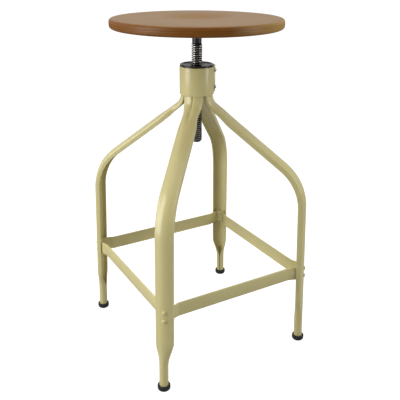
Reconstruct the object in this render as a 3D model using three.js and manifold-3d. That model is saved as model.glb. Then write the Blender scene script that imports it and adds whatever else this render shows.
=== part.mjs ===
// Adjustable swivel stool: four pressed-steel legs clamped by a split collar, four riveted
// stretchers, and a round plywood seat on a threaded spindle that screws up and down.
// Millimetres, +Z up. The origin is on the floor at the centre of the stool.
// The legs stand on the diagonals of X and Y, the stretchers run along X and Y.

import * as THREE from 'three';
import { mergeVertices } from 'three/addons/utils/BufferGeometryUtils.js';
import Module from 'manifold-3d';

const wasm = await Module();
wasm.setup();

// ---- driving dimensions ----
const GAP = 0.3; // clearance kept between pieces that touch

const SEAT_RADIUS = 157.5;
const SEAT_TOP = 651;
const SEAT_THICKNESS = 17;
const SEAT_EDGE_RADIUS = 5.5;
const SEAT_DISH = 1.5; // how far the middle of the seat lies below its rim
const SEAT_RIM_INSIDE = 132; // inner radius of the flat ring around the dish

const PLATE_RADIUS = 60;
const PLATE_THICKNESS = 4;
const BOSS_RADIUS = 17;
const BOSS_HEIGHT = 10.5;
const SCREW_CIRCLE = 42;
const SCREW_RADIUS = 2;
const SCREW_LENGTH = 16;
const SCREW_HEAD_RADIUS = 4.2;
const SCREW_HEAD_HEIGHT = 2.4;
const SCREW_POINT = 3; // length of a screw's tapered tip
const SCREW_HOLE_DEPTH = 12;

const SPINDLE_RADIUS = 10; // outside of the trapezoidal thread, 20 mm with a 4 mm pitch
const SPINDLE_BOTTOM = 420;
const SPINDLE_THREAD_TOP = 606;
const SPINDLE_CHAMFER = 3.5;
const NECK_RADIUS = 7;
const BUSH_RADIUS = 8.7;

const COLLAR_RADIUS = 32.1;
const COLLAR_WALL = 1.6;
const COLLAR_BOTTOM = 514;
const COLLAR_TOP = 565.5;
const EAR_REACH = 39; // distance from the axis to the ends of the clamping ears
const EAR_HALF_GAP = 1.2;
const BOLT_OFFSET = 35.8; // distance from the axis to the clamping bolts
const BOLT_INSET = 10; // distance from the collar's ends to the clamping bolts
const BOLT_RADIUS = 2;
const HEX_ACROSS_FLATS = 7;
const BOLT_HEAD_HEIGHT = 2.8;
const NUT_HEIGHT = 3.2;
const BOLT_TIP = 1.5; // how far a bolt shows past its nut

const CAP_RADIUS = 31.5;
const CAP_HEIGHT = 3.4;
const CAP_DISH = 1.4;
const CAP_RIM = 3.5;
const CAP_RIM_ROUND = 1.4;
const CAP_DISH_SLOPE = 2; // run of the slope between the rim and the dish
const CAP_DISH_FALL = 0.4; // fall of the dish towards its middle
const HUB_RADIUS = 15.5;
const HUB_FLANGE_HEIGHT = 4.7;
const HUB_BORE_RADIUS = 10.4;

const LEG_WIDTH = 33;
const LEG_DEPTH = 14.5;
const LEG_SHEET = 1.8;
const LEG_CROWN = 3; // bulge of the outer face across the leg
const LEG_CORNER = 5;
const LEG_COLLAR_GAP = 0.4;
const LEG_FLOOR_RADIUS = 233.7; // outer face, carried down to the floor
const LEG_SPLAY = 0.0437; // outward lean of the lower leg, per unit of height
const LEG_KNEE_HEIGHT = 358; // where the lower leg and the sloping part would meet
const LEG_KNEE_RADIUS = 114;
const LEG_SLOPE = THREE.MathUtils.degToRad(37.6);
const LEG_SHOULDER_RADIUS = 20;
const LEG_TOP_WIDTH = 36;
const LEG_TOP_DEPTH = 10.6;
const LEG_TOP_CORNER = 3;
const LEG_TOP_ROUND = 27; // radius of the outer face inside the collar
const WAIST_WIDTH = 27.5; // the leg is narrowest just below the collar
const WAIST_DEPTH = 12.5;
const WAIST_CORNER = 4;
const WAIST_BACK = 15; // distance of the waist below the upper bend
const CREASE_DEPTH = 1.4;
const CREASE_LENGTH = 48;
const FOOT_TUBE_RADIUS = 8.5;
const FOOT_SHIFT = -2; // how far the rolled foot stands to one side of the leg's middle
const FOOT_TUBE_BOTTOM = 5;
const FOOT_TUBE_SEAM = THREE.MathUtils.degToRad(5); // half the angle of the open seam
const ROLL_START = 101; // height where the channel starts to close
const ROLL_END = 51; // height where it has become a tube
const TUBE_SHOULDER = 43; // height up to which the tube is drawn in one piece

const FOOT_CAP_RADIUS = 12.2;
const FOOT_CAP_HEIGHT = 11.3;
const FOOT_CAP_SOLE_ROUND = 4.5;
const FOOT_CAP_TOP_ROUND = 2.2;

const RAIL_HEIGHT = 28.4;
const RAIL_CENTRE = 162.3;
const RAIL_OFFSET = 155.3; // outer face of a stretcher from the stool's middle plane
const RAIL_DEPTH = 3.7;
const RAIL_SHEET = 1.5;
const RAIL_CROWN = 1;
const RAIL_CORNER = 2.2;
const RAIL_BEND_AT = 126; // where a stretcher starts to lean out towards the leg
const RAIL_FLARE = THREE.MathUtils.degToRad(17);
const RAIL_BEND_RADIUS = 24;
const TAB_BEND_RADIUS = 5;
const TAB_SEAT = 222.2; // distance from the axis to the face of the outer tab
const TAB_PAST_CENTRE = 6.5;

const RIVET_SPACING = 16.6;
const RIVET_DROP = 0.9; // how far a pair of rivets sits below the middle of a stretcher
const RIVET_SHIFT = 2; // how far the rivets sit to one side of a leg's middle
const RIVET_RADIUS = 2.4;
const RIVET_HEAD_RADIUS = 4.2;
const RIVET_HEAD_HEIGHT = 2.2;
const RIVET_TAIL_RADIUS = 3.8;
const RIVET_TAIL_HEIGHT = 1.6;

// ---- values worked out from the dimensions above ----
const SEAT_BOTTOM = SEAT_TOP - SEAT_THICKNESS;
const PLATE_TOP = SEAT_BOTTOM - GAP;
const PLATE_BOTTOM = PLATE_TOP - PLATE_THICKNESS;
const BOSS_BOTTOM = PLATE_BOTTOM - BOSS_HEIGHT;
const COLLAR_INSIDE = COLLAR_RADIUS - COLLAR_WALL;
const LEG_TOP_RADIUS = COLLAR_INSIDE - LEG_COLLAR_GAP;
const LEG_TOP = COLLAR_TOP - HUB_FLANGE_HEIGHT - 2 * GAP;
const RIVET_LEAN = Math.atan(LEG_SPLAY);
const UPWARD = new THREE.Vector3(0, 0, 1);
const SCREW_ANGLES = [0, 1, 2, 3].map((i) => (i * Math.PI) / 2);

// ---- how finely curves are drawn ----
const SEAT_SIDES = 48;
const COLLAR_SIDES = 36;
const SPINDLE_SIDES = 28;
const CAP_SIDES = 18;
const SMALL_SIDES = 10;
const ROLL_STEPS = 6;
const KNEE_STEPS = 7;
const SHOULDER_STEPS = 4;
const RAIL_BEND_STEPS = 3;

// ---- materials ----
function material(color, roughness, metalness) {
  return new THREE.MeshStandardMaterial({ color, roughness, metalness });
}
const paint = material(0xc9c091, 0.45, 0.0);
const plywood = material(0xa8713a, 0.35, 0.0);
const blackSteel = material(0x1b1b1d, 0.4, 0.8);
const blackPlastic = material(0x131314, 0.4, 0.0);
const blackRubber = material(0x0f0f10, 0.7, 0.0);
const zincSteel = material(0x9c9a92, 0.35, 0.9);

// ---- solids ----
function toSolid(geometry) {
  const bare = geometry.clone();
  bare.deleteAttribute('normal');
  bare.deleteAttribute('uv');
  const merged = mergeVertices(bare, 1e-4);
  const vertProperties = new Float32Array(merged.attributes.position.array);
  const triVerts = new Uint32Array(merged.index.array);
  return new wasm.Manifold(new wasm.Mesh({ numProp: 3, vertProperties, triVerts }));
}

function fromSolid(solid) {
  const mesh = solid.getMesh();
  const geometry = new THREE.BufferGeometry();
  geometry.setAttribute('position', new THREE.BufferAttribute(new Float32Array(mesh.vertProperties), 3));
  geometry.setIndex(new THREE.BufferAttribute(new Uint32Array(mesh.triVerts), 1));
  geometry.computeVertexNormals();
  return geometry;
}

function drill(geometry, drills) {
  const cut = drills.reduce((solid, tool) => solid.subtract(toSolid(tool)), toSolid(geometry));
  return fromSolid(cut);
}

// A cylinder along Z from one height to another.
function rod(radius, low, high, sides) {
  const geometry = new THREE.CylinderGeometry(radius, radius, high - low, sides);
  geometry.rotateX(Math.PI / 2);
  return geometry.translate(0, 0, (low + high) / 2);
}

// A closed body of revolution about Z from [radius, height] pairs.
function turned(profile, sides) {
  const points = profile.map(([r, z]) => new THREE.Vector2(r, z));
  return new THREE.LatheGeometry(points, sides).rotateX(Math.PI / 2);
}

// Points of a quarter round between two directions, as [radius, height] pairs.
function quarter(centreR, centreZ, radius, fromAngle, toAngle, steps) {
  return Array.from({ length: steps + 1 }, (_, i) => {
    const angle = fromAngle + ((toAngle - fromAngle) * i) / steps;
    return [centreR + radius * Math.cos(angle), centreZ + radius * Math.sin(angle)];
  });
}

// ---- sheet metal ----
// A bent sheet: each station holds the outline of the outer skin and of the inner skin.
function sheetBody(stations) {
  const edge = stations[0].outer.length - 1;
  const positions = [];
  const quad = (a, b, c, d) => [a, b, c, a, c, d].forEach((p) => positions.push(p.x, p.y, p.z));
  for (let s = 0; s + 1 < stations.length; s += 1) {
    const { outer, inner } = stations[s];
    const { outer: nextOuter, inner: nextInner } = stations[s + 1];
    for (let i = 0; i < edge; i += 1) {
      quad(outer[i], outer[i + 1], nextOuter[i + 1], nextOuter[i]);
      quad(inner[i + 1], inner[i], nextInner[i], nextInner[i + 1]);
    }
    quad(outer[edge], inner[edge], nextInner[edge], nextOuter[edge]);
    quad(inner[0], outer[0], nextOuter[0], nextInner[0]);
  }
  const start = stations[0];
  const end = stations[stations.length - 1];
  for (let i = 0; i < edge; i += 1) {
    quad(start.inner[i], start.inner[i + 1], start.outer[i + 1], start.outer[i]);
    quad(end.outer[i], end.outer[i + 1], end.inner[i + 1], end.inner[i]);
  }
  const geometry = new THREE.BufferGeometry();
  geometry.setAttribute('position', new THREE.Float32BufferAttribute(positions, 3));
  return mergeVertices(geometry, 1e-4);
}

// The inner skin of a section: each point moved by the sheet thickness, square to the outline.
function thicken(outline, sheet) {
  return outline.map((point, i) => {
    const before = outline[Math.max(i - 1, 0)];
    const after = outline[Math.min(i + 1, outline.length - 1)];
    const along = after.clone().sub(before).normalize();
    return new THREE.Vector2(point.x - along.y * sheet, point.y + along.x * sheet);
  });
}

// Half of a channel's outline from its middle to the free edge: x across, y depth from the outer face.
function halfChannel(width, depth, cornerRadius, dropAt) {
  const flat = width / 2 - cornerRadius;
  const drop = dropAt(flat);
  const lean = Math.PI / 4;
  const edge = drop + cornerRadius;
  return [
    new THREE.Vector2(flat / 2, dropAt(flat / 2)),
    new THREE.Vector2(flat, drop),
    new THREE.Vector2(flat + cornerRadius * Math.sin(lean), edge - cornerRadius * Math.cos(lean)),
    new THREE.Vector2(width / 2, edge),
    new THREE.Vector2(width / 2, (edge + depth) / 2),
    new THREE.Vector2(width / 2, depth),
  ];
}

function mirrored(half, middleDepth) {
  const left = half.map((p) => new THREE.Vector2(-p.x, p.y)).reverse();
  return [...left, new THREE.Vector2(0, middleDepth), ...half];
}

function blend(from, to, amount) {
  return from.map((p, i) => p.clone().lerp(to[i], amount));
}

// Distances along an outline, from -1 at one free edge to 1 at the other.
function spread(outline) {
  const lengths = [0];
  for (let i = 1; i < outline.length; i += 1) {
    lengths.push(lengths[i - 1] + outline[i].distanceTo(outline[i - 1]));
  }
  const total = lengths[lengths.length - 1];
  return lengths.map((l) => (2 * l) / total - 1);
}

// Replaces the corner of two straight lines by an arc: stations with a place and a direction.
function roundedCorner(corner, directionIn, directionOut, radius, steps) {
  const angle = directionIn.angleTo(directionOut);
  const turn = Math.sign(directionIn.cross(directionOut));
  const setback = radius * Math.tan(angle / 2);
  const start = corner.clone().addScaledVector(directionIn, -setback);
  const side = new THREE.Vector2(-directionIn.y * turn, directionIn.x * turn);
  const centre = start.clone().addScaledVector(side, radius);
  return Array.from({ length: steps + 1 }, (_, i) => {
    const a = (angle * i) / steps;
    const direction = directionIn.clone().multiplyScalar(Math.cos(a)).addScaledVector(side, Math.sin(a));
    const spoke = side.clone().multiplyScalar(-Math.cos(a)).addScaledVector(directionIn, Math.sin(a));
    return { place: centre.clone().addScaledVector(spoke, radius), direction };
  });
}

// ---- legs ----
function legFaceRadius(height) {
  return LEG_FLOOR_RADIUS - LEG_SPLAY * height;
}

// The outer face of a leg in its own plane: x away from the axis, y up.
function legPath() {
  const up = new THREE.Vector2(-LEG_SPLAY, 1).normalize();
  const slope = new THREE.Vector2(-Math.cos(LEG_SLOPE), Math.sin(LEG_SLOPE));
  const upright = new THREE.Vector2(0, 1);
  const onFace = (height) => ({ place: new THREE.Vector2(legFaceRadius(height), height), direction: up });
  const knee = new THREE.Vector2(legFaceRadius(LEG_KNEE_HEIGHT), LEG_KNEE_HEIGHT);
  const shoulderRise = (knee.x - LEG_TOP_RADIUS) * Math.tan(LEG_SLOPE);
  const shoulder = new THREE.Vector2(LEG_TOP_RADIUS, LEG_KNEE_HEIGHT + shoulderRise);
  const foot = [FOOT_TUBE_BOTTOM, TUBE_SHOULDER].map(onFace);
  const roll = Array.from({ length: ROLL_STEPS + 1 }, (_, i) =>
    onFace(ROLL_END + ((ROLL_START - ROLL_END) * i) / ROLL_STEPS));
  const lowerBend = roundedCorner(knee, up, slope, LEG_KNEE_RADIUS, KNEE_STEPS);
  const upperBend = roundedCorner(shoulder, slope, upright, LEG_SHOULDER_RADIUS, SHOULDER_STEPS);
  const neck = [CREASE_LENGTH, (CREASE_LENGTH + WAIST_BACK) / 2, WAIST_BACK].map((back) => ({
    place: upperBend[0].place.clone().addScaledVector(slope, -back),
    direction: slope,
  }));
  const top = [COLLAR_BOTTOM + 4, LEG_TOP].map((height) => ({
    place: new THREE.Vector2(LEG_TOP_RADIUS, height),
    direction: upright,
  }));
  const stations = [...foot, ...roll, ...lowerBend, ...neck, ...upperBend, ...top];
  return { stations, neckStart: neck[0].place.x, waistAt: neck[2].place.x };
}

function legOutlines() {
  const crownAt = (x) => LEG_CROWN * (x / (LEG_WIDTH / 2 - LEG_CORNER)) ** 2;
  const roundAt = (x) => LEG_TOP_ROUND - Math.sqrt(LEG_TOP_ROUND ** 2 - x ** 2);
  const channel = mirrored(halfChannel(LEG_WIDTH, LEG_DEPTH, LEG_CORNER, crownAt), 0);
  const waist = mirrored(halfChannel(WAIST_WIDTH, WAIST_DEPTH, WAIST_CORNER, roundAt), CREASE_DEPTH);
  const top = mirrored(halfChannel(LEG_TOP_WIDTH, LEG_TOP_DEPTH, LEG_TOP_CORNER, roundAt), CREASE_DEPTH);
  const tube = spread(channel).map((s) => {
    const angle = s * (Math.PI - FOOT_TUBE_SEAM);
    const across = FOOT_SHIFT + FOOT_TUBE_RADIUS * Math.sin(angle);
    return new THREE.Vector2(across, FOOT_TUBE_RADIUS * (1 - Math.cos(angle)));
  });
  return { channel, waist, top, tube };
}

// Places a section across a path in the plane of a leg: its x runs sideways, its y towards the axis.
function legSkin(outline, { place, direction }) {
  const inward = new THREE.Vector2(-direction.y, direction.x);
  return outline.map((p) =>
    new THREE.Vector3(place.x + inward.x * p.y, p.x, place.y + inward.y * p.y));
}

function legGeometry() {
  const { channel, waist, top, tube } = legOutlines();
  const { stations, neckStart, waistAt } = legPath();
  const skins = stations.map((station) => {
    const { x: radius, y: height } = station.place;
    const rolled = 1 - THREE.MathUtils.smoothstep(height, ROLL_END, ROLL_START);
    const necked = 1 - THREE.MathUtils.smoothstep(radius, waistAt, neckStart);
    const spreadOut = THREE.MathUtils.clamp((waistAt - radius) / (waistAt - LEG_TOP_RADIUS), 0, 1);
    const upper = blend(blend(channel, waist, necked), top, spreadOut);
    const outline = radius < neckStart ? upper : blend(channel, tube, rolled);
    return { outer: legSkin(outline, station), inner: legSkin(thicken(outline, LEG_SHEET), station) };
  });
  return sheetBody(skins);
}

// The heights of the two rivets of a leg.
const rivetHeights = [-1, 1].map((side) => RAIL_CENTRE - RIVET_DROP + (side * RIVET_SPACING) / 2);

// Turns a body made along Z to point away from the axis, square to a leg's outer face.
function ontoLeg(geometry, height) {
  geometry.rotateY(Math.PI / 2 - RIVET_LEAN);
  return geometry.translate(legFaceRadius(height), RIVET_SHIFT, height);
}

// Tools for the rivet holes, long enough to pass through the leg and both tabs.
function rivetDrills() {
  const reach = 2 * LEG_DEPTH;
  return rivetHeights.map((height) =>
    ontoLeg(rod(RIVET_RADIUS + GAP, -reach, LEG_DEPTH / 2, SMALL_SIDES), height));
}

// ---- stretchers ----
// The outer face of a stretcher from above, along X with its outer face towards -Y.
// reach is how far its tabs lie from the axis of the stool at the two ends.
function railEnd(reach) {
  const along = new THREE.Vector2(1, 0);
  const flare = new THREE.Vector2(Math.cos(RAIL_FLARE), -Math.sin(RAIL_FLARE));
  const tab = new THREE.Vector2(Math.SQRT1_2, Math.SQRT1_2);
  const outward = new THREE.Vector2(Math.SQRT1_2, -Math.SQRT1_2);
  const bend = new THREE.Vector2(RAIL_BEND_AT, -RAIL_OFFSET);
  const corner = bend.clone().addScaledVector(flare, (reach - bend.dot(outward)) / flare.dot(outward));
  const tip = outward.clone().multiplyScalar(reach).addScaledVector(tab, TAB_PAST_CENTRE);
  return [
    ...roundedCorner(bend, along, flare, RAIL_BEND_RADIUS, RAIL_BEND_STEPS),
    ...roundedCorner(corner, flare, tab, TAB_BEND_RADIUS, RAIL_BEND_STEPS),
    { place: tip, direction: tab },
  ];
}

function mirrorStation({ place, direction }) {
  return {
    place: new THREE.Vector2(-place.x, place.y),
    direction: new THREE.Vector2(direction.x, -direction.y),
  };
}

function railGeometry(reachStart, reachEnd) {
  const crownAt = (z) => RAIL_CROWN * (z / (RAIL_HEIGHT / 2 - RAIL_CORNER)) ** 2;
  const channel = mirrored(halfChannel(RAIL_HEIGHT, RAIL_DEPTH, RAIL_CORNER, crownAt), 0);
  const flat = spread(channel).map((s) => new THREE.Vector2((s * RAIL_HEIGHT) / 2, 0));
  const end = railEnd(reachEnd);
  const start = railEnd(reachStart).map(mirrorStation).reverse();
  const flareRun = end[RAIL_BEND_STEPS + 1].place.x - RAIL_BEND_AT;
  const skins = [...start, ...end].map((station) => {
    const isTab = Math.abs(station.direction.y) > 1.02 * Math.sin(RAIL_FLARE);
    const flattened = THREE.MathUtils.clamp((Math.abs(station.place.x) - RAIL_BEND_AT) / flareRun, 0, 1);
    const outline = isTab ? flat : blend(channel, flat, flattened);
    return { outer: railSkin(outline, station), inner: railSkin(thicken(outline, RAIL_SHEET), station) };
  });
  return sheetBody(skins);
}

// Places a section across a path seen from above; the section's x becomes the height.
function railSkin(outline, { place, direction }) {
  const inward = new THREE.Vector2(-direction.y, direction.x);
  return outline.map((p) =>
    new THREE.Vector3(place.x + inward.x * p.y, place.y + inward.y * p.y, RAIL_CENTRE - p.x));
}

// ---- small parts ----
function rivetGeometry() {
  const insideFace = TAB_SEAT - 2 * RAIL_SHEET - 2 * GAP - legFaceRadius(RAIL_CENTRE);
  const tailTop = insideFace - RIVET_TAIL_HEIGHT;
  const dome = [0.35, 0.7, 1].map((t) => {
    const angle = (t * Math.PI) / 2;
    return [RIVET_HEAD_RADIUS * Math.cos(angle), GAP + RIVET_HEAD_HEIGHT * Math.sin(angle)];
  });
  const profile = [
    [0, tailTop],
    [RIVET_TAIL_RADIUS * 0.8, tailTop],
    [RIVET_TAIL_RADIUS, insideFace - RIVET_TAIL_HEIGHT / 2],
    [RIVET_TAIL_RADIUS, insideFace - GAP],
    [RIVET_RADIUS, insideFace - GAP],
    [RIVET_RADIUS, GAP],
    [RIVET_HEAD_RADIUS, GAP],
    ...dome.slice(0, 2),
    [0, dome[2][1]],
  ];
  return turned(profile, SMALL_SIDES);
}

function footCapGeometry() {
  const socket = FOOT_TUBE_RADIUS + 2 * GAP;
  const socketFloor = FOOT_TUBE_BOTTOM - 2 * FOOT_TUBE_RADIUS * LEG_SPLAY - GAP;
  const sole = FOOT_CAP_SOLE_ROUND;
  const top = FOOT_CAP_TOP_ROUND;
  const profile = [
    [0, 0],
    ...quarter(FOOT_CAP_RADIUS - sole, sole, sole, -Math.PI / 2, 0, 3),
    ...quarter(FOOT_CAP_RADIUS - top, FOOT_CAP_HEIGHT - top, top, 0, Math.PI / 2, 2),
    [socket, FOOT_CAP_HEIGHT],
    [socket, socketFloor],
    [0, socketFloor],
  ];
  return turned(profile, CAP_SIDES);
}

function seatGeometry() {
  const r = SEAT_EDGE_RADIUS;
  const profile = [
    [0, SEAT_BOTTOM],
    ...quarter(SEAT_RADIUS - r, SEAT_BOTTOM + r, r, -Math.PI / 2, 0, 4),
    ...quarter(SEAT_RADIUS - r, SEAT_TOP - r, r, 0, Math.PI / 2, 4),
    [SEAT_RIM_INSIDE, SEAT_TOP],
    [SEAT_RIM_INSIDE * 0.75, SEAT_TOP - SEAT_DISH * 0.6],
    [0, SEAT_TOP - SEAT_DISH],
  ];
  return turned(profile, SEAT_SIDES);
}

function plateGeometry() {
  const bore = NECK_RADIUS + GAP;
  const profile = [
    [bore, BOSS_BOTTOM],
    [BOSS_RADIUS, BOSS_BOTTOM],
    [BOSS_RADIUS, PLATE_BOTTOM],
    [PLATE_RADIUS, PLATE_BOTTOM],
    [PLATE_RADIUS, PLATE_TOP],
    [0, PLATE_TOP],
    [0, PLATE_BOTTOM + 2 * GAP],
    [bore, PLATE_BOTTOM + 2 * GAP],
    [bore, BOSS_BOTTOM],
  ];
  return turned(profile, SPINDLE_SIDES);
}

function spindleGeometry() {
  const c = SPINDLE_CHAMFER;
  const profile = [
    [0, SPINDLE_BOTTOM],
    [SPINDLE_RADIUS - c, SPINDLE_BOTTOM],
    [SPINDLE_RADIUS, SPINDLE_BOTTOM + c],
    [SPINDLE_RADIUS, SPINDLE_THREAD_TOP - 1],
    [SPINDLE_RADIUS - 1, SPINDLE_THREAD_TOP],
    [NECK_RADIUS, SPINDLE_THREAD_TOP],
    [NECK_RADIUS, PLATE_BOTTOM + GAP],
    [0, PLATE_BOTTOM + GAP],
  ];
  return turned(profile, SPINDLE_SIDES);
}

function bushGeometry() {
  const inside = NECK_RADIUS + GAP;
  const low = SPINDLE_THREAD_TOP + GAP;
  const high = BOSS_BOTTOM - GAP;
  const profile = [[inside, low], [BUSH_RADIUS, low], [BUSH_RADIUS, high], [inside, high], [inside, low]];
  return turned(profile, SPINDLE_SIDES);
}

function screwGeometry() {
  const headTop = PLATE_BOTTOM - GAP;
  const tip = headTop + SCREW_LENGTH;
  const profile = [
    [0, headTop - SCREW_HEAD_HEIGHT],
    [SCREW_HEAD_RADIUS * 0.7, headTop - SCREW_HEAD_HEIGHT],
    [SCREW_HEAD_RADIUS, headTop - SCREW_HEAD_HEIGHT / 2],
    [SCREW_HEAD_RADIUS, headTop],
    [SCREW_RADIUS, headTop],
    [SCREW_RADIUS, tip - SCREW_POINT],
    [0, tip],
  ];
  return turned(profile, SMALL_SIDES);
}

function screwDrills(low, high) {
  return SCREW_ANGLES.map((angle) =>
    rod(SCREW_RADIUS + GAP, low, high, SMALL_SIDES)
      .translate(SCREW_CIRCLE * Math.cos(angle), SCREW_CIRCLE * Math.sin(angle), 0));
}

// ---- collar ----
const earFace = EAR_HALF_GAP + COLLAR_WALL;
const boltHeights = [COLLAR_BOTTOM + BOLT_INSET, COLLAR_TOP - BOLT_INSET];

function collarGeometry() {
  const outerAngle = Math.asin(earFace / COLLAR_RADIUS);
  const innerAngle = Math.asin(EAR_HALF_GAP / COLLAR_INSIDE);
  const shape = new THREE.Shape();
  shape.moveTo(EAR_REACH, EAR_HALF_GAP);
  shape.lineTo(EAR_REACH, earFace);
  shape.absarc(0, 0, COLLAR_RADIUS, outerAngle, 2 * Math.PI - outerAngle, false);
  shape.lineTo(EAR_REACH, -earFace);
  shape.lineTo(EAR_REACH, -EAR_HALF_GAP);
  shape.absarc(0, 0, COLLAR_INSIDE, 2 * Math.PI - innerAngle, innerAngle, true);
  shape.closePath();
  const height = COLLAR_TOP - COLLAR_BOTTOM;
  const settings = { depth: height, bevelEnabled: false, curveSegments: COLLAR_SIDES };
  const body = new THREE.ExtrudeGeometry(shape, settings);
  body.translate(0, 0, COLLAR_BOTTOM);
  const drills = boltHeights.map((level) =>
    ontoEar(rod(BOLT_RADIUS + GAP, -2 * earFace, 2 * earFace, SMALL_SIDES), level));
  return drill(body, drills);
}

// Turns a body made along Z to lie along +Y through the ears at a given height.
function ontoEar(geometry, height) {
  return geometry.rotateX(-Math.PI / 2).translate(BOLT_OFFSET, 0, height);
}

function hexagon(low, high) {
  return rod(HEX_ACROSS_FLATS / Math.sqrt(3), low, high, 6);
}

function boltGeometry() {
  const headTop = -earFace - GAP;
  const end = earFace + GAP + NUT_HEIGHT + BOLT_TIP;
  const shank = rod(BOLT_RADIUS, headTop - BOLT_HEAD_HEIGHT / 2, end, SMALL_SIDES);
  const head = hexagon(headTop - BOLT_HEAD_HEIGHT, headTop);
  return fromSolid(toSolid(shank).add(toSolid(head)));
}

function nutGeometry() {
  const low = earFace + GAP;
  const bore = rod(BOLT_RADIUS + GAP, low - NUT_HEIGHT, low + 2 * NUT_HEIGHT, SMALL_SIDES);
  return drill(hexagon(low, low + NUT_HEIGHT), [bore]);
}

function topCapGeometry() {
  const low = COLLAR_TOP + GAP;
  const high = low + CAP_HEIGHT;
  const bore = HUB_BORE_RADIUS + GAP;
  const floor = high - CAP_DISH;
  const round = CAP_RIM_ROUND;
  const profile = [
    [bore, low],
    [CAP_RADIUS - round / 2, low],
    ...quarter(CAP_RADIUS - round, high - round, round, 0, Math.PI / 2, 3),
    [CAP_RADIUS - CAP_RIM, high],
    [CAP_RADIUS - CAP_RIM - CAP_DISH_SLOPE, floor],
    [bore, floor - CAP_DISH_FALL],
    [bore, low],
  ];
  return turned(profile, COLLAR_SIDES);
}

function hubGeometry() {
  const flangeTop = COLLAR_TOP - GAP;
  const flangeBottom = flangeTop - HUB_FLANGE_HEIGHT;
  const profile = [
    [HUB_BORE_RADIUS, COLLAR_BOTTOM],
    [HUB_RADIUS, COLLAR_BOTTOM],
    [HUB_RADIUS, flangeBottom],
    [COLLAR_INSIDE - 1, flangeBottom],
    [COLLAR_INSIDE - 1, flangeTop],
    [HUB_BORE_RADIUS, flangeTop],
    [HUB_BORE_RADIUS, COLLAR_BOTTOM],
  ];
  return turned(profile, SPINDLE_SIDES);
}

// ---- assembly ----
const stool = new THREE.Group();

function place(name, geometry, look, angle = 0) {
  const mesh = new THREE.Mesh(geometry, look);
  mesh.name = name;
  mesh.rotation.z = angle;
  stool.add(mesh);
  return mesh;
}

function addSeat() {
  const seatHoles = screwDrills(PLATE_BOTTOM, SEAT_BOTTOM + SCREW_HOLE_DEPTH);
  const plateHoles = screwDrills(PLATE_BOTTOM - PLATE_THICKNESS, PLATE_TOP + PLATE_THICKNESS);
  place('seat', drill(seatGeometry(), seatHoles), plywood);
  place('seat_plate', drill(plateGeometry(), plateHoles), blackSteel);
  SCREW_ANGLES.forEach((angle, i) => {
    const screw = place(`seat_screw_${i + 1}`, screwGeometry(), zincSteel);
    screw.position.set(SCREW_CIRCLE * Math.cos(angle), SCREW_CIRCLE * Math.sin(angle), 0);
  });
}

function addSpindle() {
  place('spindle', spindleGeometry(), blackSteel);
  place('spindle_bush', bushGeometry(), blackSteel);
}

function addCollar() {
  place('clamp_collar', collarGeometry(), paint);
  place('spindle_hub', hubGeometry(), blackSteel);
  place('top_cap', topCapGeometry(), blackPlastic);
  boltHeights.forEach((height, i) => {
    place(`clamp_bolt_${i + 1}`, ontoEar(boltGeometry(), height), zincSteel);
    place(`clamp_nut_${i + 1}`, ontoEar(nutGeometry(), height), zincSteel);
  });
}

// Leg 1 stands towards -X and -Y, and the others follow anticlockwise seen from above.
function addLegs() {
  for (let i = 0; i < 4; i += 1) {
    const angle = THREE.MathUtils.degToRad(225 + 90 * i);
    place(`leg_${i + 1}`, drill(legGeometry(), rivetDrills()), paint, angle);
    const cap = place(`foot_cap_${i + 1}`, footCapGeometry(), blackRubber, angle);
    const middle = legFaceRadius(FOOT_CAP_HEIGHT / 2) - FOOT_TUBE_RADIUS;
    cap.position.set(middle, FOOT_SHIFT, 0).applyAxisAngle(UPWARD, angle);
    ['lower', 'upper'].forEach((level, k) => {
      place(`rivet_${i + 1}_${level}`, ontoLeg(rivetGeometry(), rivetHeights[k]), paint, angle);
    });
  }
}

// Stretcher 1 runs along -Y between legs 1 and 2. At each leg the tab of the stretcher that
// ends there lies against the leg, and the tab of the next stretcher lies on top of it.
function addStretchers() {
  const underneath = TAB_SEAT - RAIL_SHEET - GAP;
  for (let i = 0; i < 4; i += 1) {
    const legAngles = [225, 315].map((degrees) => THREE.MathUtils.degToRad(degrees));
    const drills = legAngles.flatMap((angle) => rivetDrills().map((tool) => tool.rotateZ(angle)));
    const geometry = drill(railGeometry(underneath, TAB_SEAT), drills);
    place(`stretcher_${i + 1}`, geometry, paint, (i * Math.PI) / 2);
  }
}

addSeat();
addSpindle();
addCollar();
addLegs();
addStretchers();

export default stool;
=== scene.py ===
import math

import bmesh
import bpy
from mathutils import Matrix, Vector


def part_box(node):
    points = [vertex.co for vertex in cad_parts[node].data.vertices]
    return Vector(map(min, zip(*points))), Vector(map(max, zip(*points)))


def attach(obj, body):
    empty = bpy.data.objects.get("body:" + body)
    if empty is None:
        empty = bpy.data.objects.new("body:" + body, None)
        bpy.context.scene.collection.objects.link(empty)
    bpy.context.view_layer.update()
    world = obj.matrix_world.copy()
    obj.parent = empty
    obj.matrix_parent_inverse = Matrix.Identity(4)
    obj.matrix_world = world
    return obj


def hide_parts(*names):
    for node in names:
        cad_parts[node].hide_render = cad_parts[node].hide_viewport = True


bl_info = {
    "name": "Adjustable Swivel Stool",
    "version": (1, 0, 0),
    "blender": (4, 5, 0),
    "location": "View3D > Sidebar > Stool",
    "description": "Builds the finished pieces of a swivel stool around its packed frame",
    "category": "Object",
}

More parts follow.
